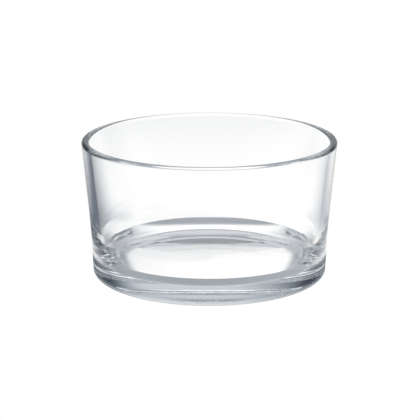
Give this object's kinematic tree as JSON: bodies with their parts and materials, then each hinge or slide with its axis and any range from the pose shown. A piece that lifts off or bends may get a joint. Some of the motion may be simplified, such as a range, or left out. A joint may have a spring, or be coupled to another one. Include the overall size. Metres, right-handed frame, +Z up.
{
  "type": "glass bowl",
  "caption": "Round clear glass bowl with a straight, slightly flared wall, a rounded rim, a bevel where the inside wall meets the flat floor, and a bearing ring round a shallow domed push-up.",
  "frame": {"origin": "centre of the bearing ring that the bowl stands on, at the height of the table", "axes": "+Z up along the bowl's axis of revolution, from the base to the open mouth; X and Y are any two directions across, because the bowl is round"},
  "size_m": [0.1196, 0.1196, 0.065],
  "materials": {
    "clear_glass": "clear, fire-polished, smooth on both sides, faintly cool where the glass is thick"
  },
  "bodies": {
    "root": {"glass_bowl": "clear_glass"}
  },
  "joints": []
}
